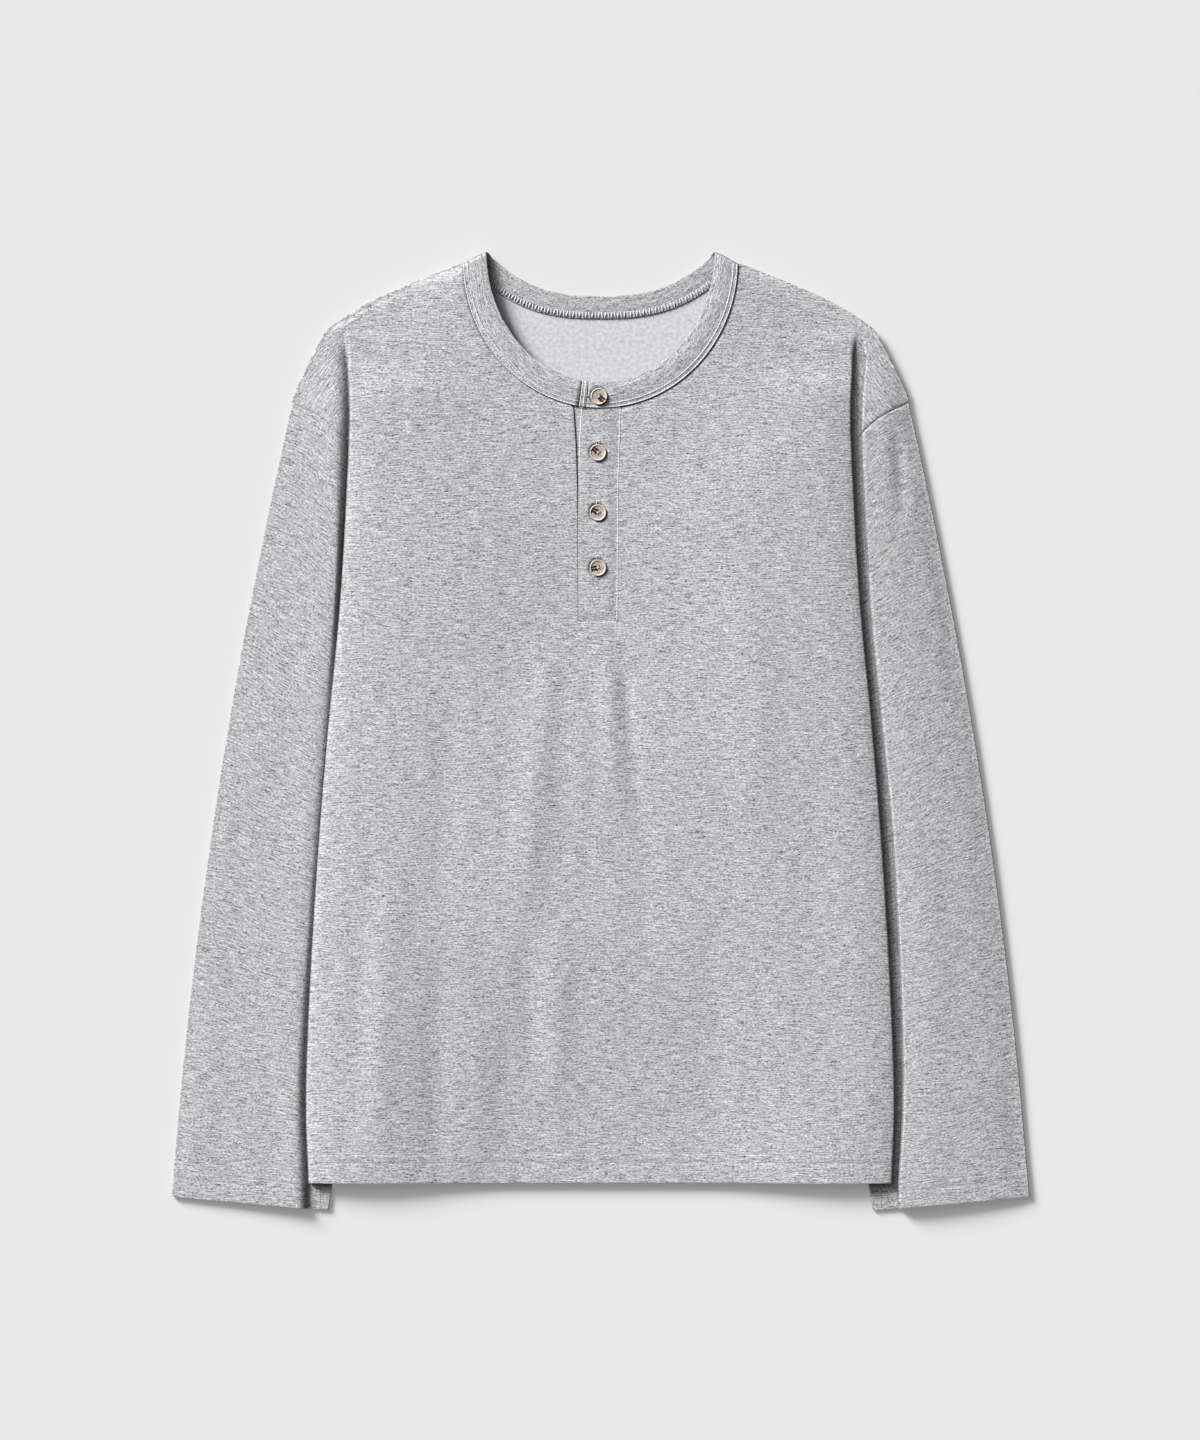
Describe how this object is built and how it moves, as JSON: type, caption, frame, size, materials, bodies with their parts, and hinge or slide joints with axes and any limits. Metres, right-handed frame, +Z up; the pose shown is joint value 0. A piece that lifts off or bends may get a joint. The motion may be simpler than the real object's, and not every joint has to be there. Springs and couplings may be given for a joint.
{
  "type": "henley shirt",
  "caption": "Long-sleeved jersey henley shirt laid flat, with a round neckband, a buttoned front placket and sleeves drawn down beside the body.",
  "frame": {"origin": "on the surface that the shirt lies on, under the middle of its width and length", "axes": "+X across the shirt towards its right sleeve as seen from above, +Y from the hem to the collar, +Z up from the surface, out of the front"},
  "size_m": [0.646, 0.7186, 0.0094],
  "materials": {
    "front_panel": "grey marl cotton jersey",
    "back_panel": "grey marl cotton jersey",
    "sleeve_left": "grey marl cotton jersey",
    "sleeve_right": "grey marl cotton jersey",
    "neckband": "grey marl cotton jersey, folded double",
    "placket_over": "grey marl cotton jersey",
    "placket_under": "grey marl cotton jersey",
    "button_1": "polished beige, mottled brown",
    "button_2": "polished beige, mottled brown",
    "button_3": "polished beige, mottled brown",
    "button_4": "polished beige, mottled brown"
  },
  "bodies": {
    "root": {"front_panel": "front_panel", "back_panel": "back_panel", "sleeve_left": "sleeve_left", "sleeve_right": "sleeve_right", "neckband": "neckband", "placket_over": "placket_over", "placket_under": "placket_under", "button_1": "button_1", "button_2": "button_2", "button_3": "button_3", "button_4": "button_4"}
  },
  "joints": []
}
